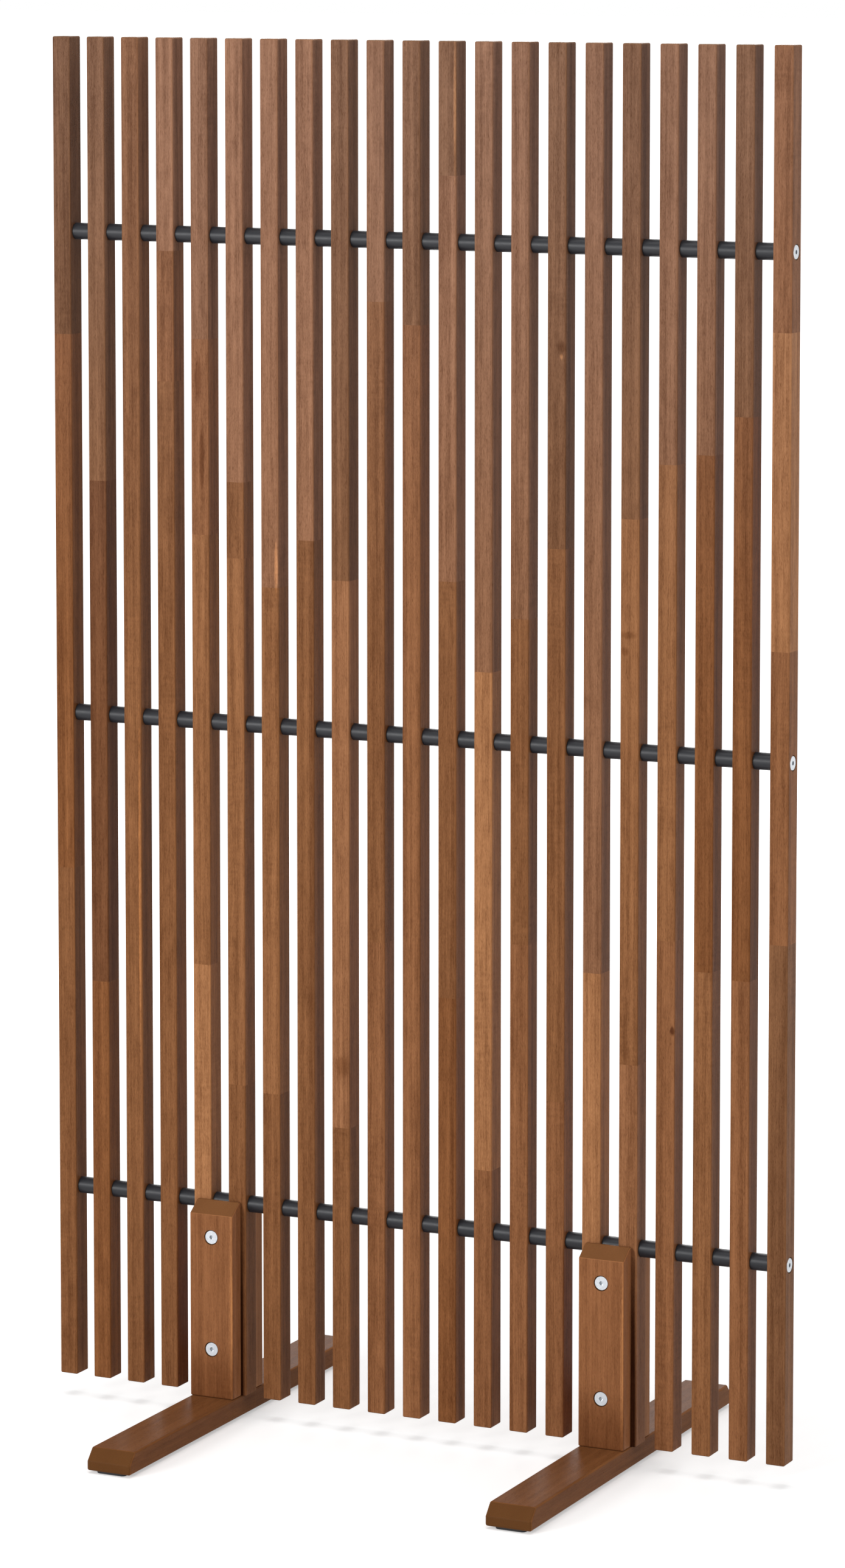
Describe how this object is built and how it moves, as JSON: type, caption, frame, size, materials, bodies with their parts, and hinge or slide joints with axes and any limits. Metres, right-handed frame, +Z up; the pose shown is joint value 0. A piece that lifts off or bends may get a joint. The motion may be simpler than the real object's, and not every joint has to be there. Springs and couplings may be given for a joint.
{
  "type": "garden privacy screen",
  "caption": "Freestanding slatted wooden screen: upright slats on tie rods with spacer tubes, clamped between front plates and rear uprights on two foot beams.",
  "frame": {"origin": "on the floor under the middle of the panel", "axes": "+X along the panel to the right as seen from the front, +Y from the front to the back, +Z up"},
  "size_m": [0.902, 0.56, 1.573],
  "materials": {
    "wood_slat": "oiled hardwood, straight grain",
    "wood_foot": "oiled hardwood, straight grain",
    "wood_clamp": "oiled hardwood, straight grain",
    "black_tube": "satin black",
    "steel_rod": "zinc plated",
    "zinc_fastener": "zinc plated",
    "brass_insert": "plain",
    "black_pad": "matte black"
  },
  "bodies": {
    "root": {"slat_01": "wood_slat", "slat_02": "wood_slat", "slat_03": "wood_slat", "slat_04": "wood_slat", "slat_05": "wood_slat", "slat_06": "wood_slat", "slat_07": "wood_slat", "slat_08": "wood_slat", "slat_09": "wood_slat", "slat_10": "wood_slat", "slat_11": "wood_slat", "slat_12": "wood_slat", "slat_13": "wood_slat", "slat_14": "wood_slat", "slat_15": "wood_slat", "slat_16": "wood_slat", "slat_17": "wood_slat", "slat_18": "wood_slat", "slat_19": "wood_slat", "slat_20": "wood_slat", "slat_21": "wood_slat", "tie_rod_bottom": "steel_rod", "spacer_tubes_bottom": "black_tube", "tie_rod_middle": "steel_rod", "spacer_tubes_middle": "black_tube", "tie_rod_top": "steel_rod", "spacer_tubes_top": "black_tube", "rod_nuts_left": "zinc_fastener", "rod_nuts_right": "zinc_fastener", "foot_beam_left": "wood_foot", "clamp_plate_left": "wood_clamp", "rear_upright_left": "wood_clamp", "clamp_bolts_left": "zinc_fastener", "clamp_nuts_left": "zinc_fastener", "foot_bolts_left": "zinc_fastener", "upright_inserts_left": "brass_insert", "pad_front_left": "black_pad", "pad_rear_left": "black_pad", "pad_screws_left": "zinc_fastener", "foot_beam_right": "wood_foot", "clamp_plate_right": "wood_clamp", "rear_upright_right": "wood_clamp", "clamp_bolts_right": "zinc_fastener", "clamp_nuts_right": "zinc_fastener", "foot_bolts_right": "zinc_fastener", "upright_inserts_right": "brass_insert", "pad_front_right": "black_pad", "pad_rear_right": "black_pad", "pad_screws_right": "zinc_fastener"}
  },
  "joints": []
}
